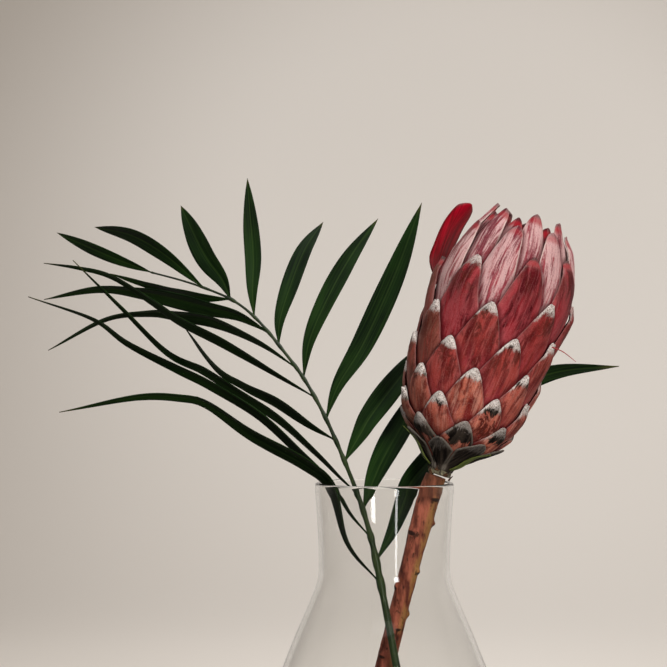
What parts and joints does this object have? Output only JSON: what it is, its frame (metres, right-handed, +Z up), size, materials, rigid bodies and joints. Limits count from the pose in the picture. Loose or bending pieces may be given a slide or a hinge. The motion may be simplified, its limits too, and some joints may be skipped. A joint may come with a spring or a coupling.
{
  "type": "protea flower in a glass vase",
  "caption": "Pink protea bloom and a palm frond standing in a clear glass carafe-shaped vase; a table decoration.",
  "frame": {"origin": "centre of the vase's flat foot, on the surface it stands on", "axes": "+Z up; -Y towards the viewer; the bloom leans towards +X and the frond spreads towards -X"},
  "size_m": [0.2538, 0.1944, 0.2994],
  "materials": {
    "vase_glass": "clear, polished",
    "protea_stem": "red-brown bark, satin",
    "receptacle": "pale green, matte",
    "florets": "hairy, matte",
    "green_leaf": "leathery leaf, satin",
    "withered_bract": "dry and withered, matte",
    "lower_bract": "leathery, satin, felted edge",
    "upper_bract": "leathery, silvery-pink, matte",
    "red_bract": "leathery, satin",
    "palm_rachis": "green, satin",
    "palm_leaf": "dark green, satin"
  },
  "bodies": {
    "root": {"bract_1_1": "withered_bract", "bract_1_2": "withered_bract", "bract_1_3": "withered_bract", "bract_1_4": "withered_bract", "bract_1_5": "withered_bract", "bract_1_6": "withered_bract", "bract_1_7": "withered_bract", "bract_2_1": "lower_bract", "bract_2_2": "lower_bract", "bract_2_3": "lower_bract", "bract_2_4": "lower_bract", "bract_2_5": "lower_bract", "bract_2_6": "lower_bract", "bract_2_7": "lower_bract", "bract_3_1": "lower_bract", "bract_3_2": "lower_bract", "bract_3_3": "lower_bract", "bract_3_4": "lower_bract", "bract_3_5": "lower_bract", "bract_3_6": "lower_bract", "bract_3_7": "lower_bract", "bract_4_1": "lower_bract", "bract_4_2": "lower_bract", "bract_4_3": "lower_bract", "bract_4_4": "lower_bract", "bract_4_5": "lower_bract", "bract_4_6": "lower_bract", "bract_4_7": "lower_bract", "bract_whorl_5": "upper_bract", "bract_whorl_6": "upper_bract", "bract_whorl_7": "upper_bract", "bract_whorl_8": "upper_bract", "bract_whorl_9": "upper_bract", "floret_mass": "florets", "glass_vase": "vase_glass", "green_basal_leaf_1": "green_leaf", "green_basal_leaf_2": "green_leaf", "green_basal_leaf_3": "green_leaf", "loose_red_bract": "red_bract", "palm_leaflet_left_1": "palm_leaf", "palm_leaflet_left_2": "palm_leaf", "palm_leaflet_left_3": "palm_leaf", "palm_leaflet_left_4": "palm_leaf", "palm_leaflet_left_5": "palm_leaf", "palm_leaflet_left_6": "palm_leaf", "palm_leaflet_left_7": "palm_leaf", "palm_leaflet_left_8": "palm_leaf", "palm_leaflet_right_1": "palm_leaf", "palm_leaflet_right_10": "palm_leaf", "palm_leaflet_right_2": "palm_leaf", "palm_leaflet_right_3": "palm_leaf", "palm_leaflet_right_4": "palm_leaf", "palm_leaflet_right_5": "palm_leaf", "palm_leaflet_right_6": "palm_leaf", "palm_leaflet_right_7": "palm_leaf", "palm_leaflet_right_8": "palm_leaf", "palm_leaflet_right_9": "palm_leaf", "palm_rachis": "palm_rachis", "protea_stem": "protea_stem", "receptacle": "receptacle"}
  },
  "joints": []
}
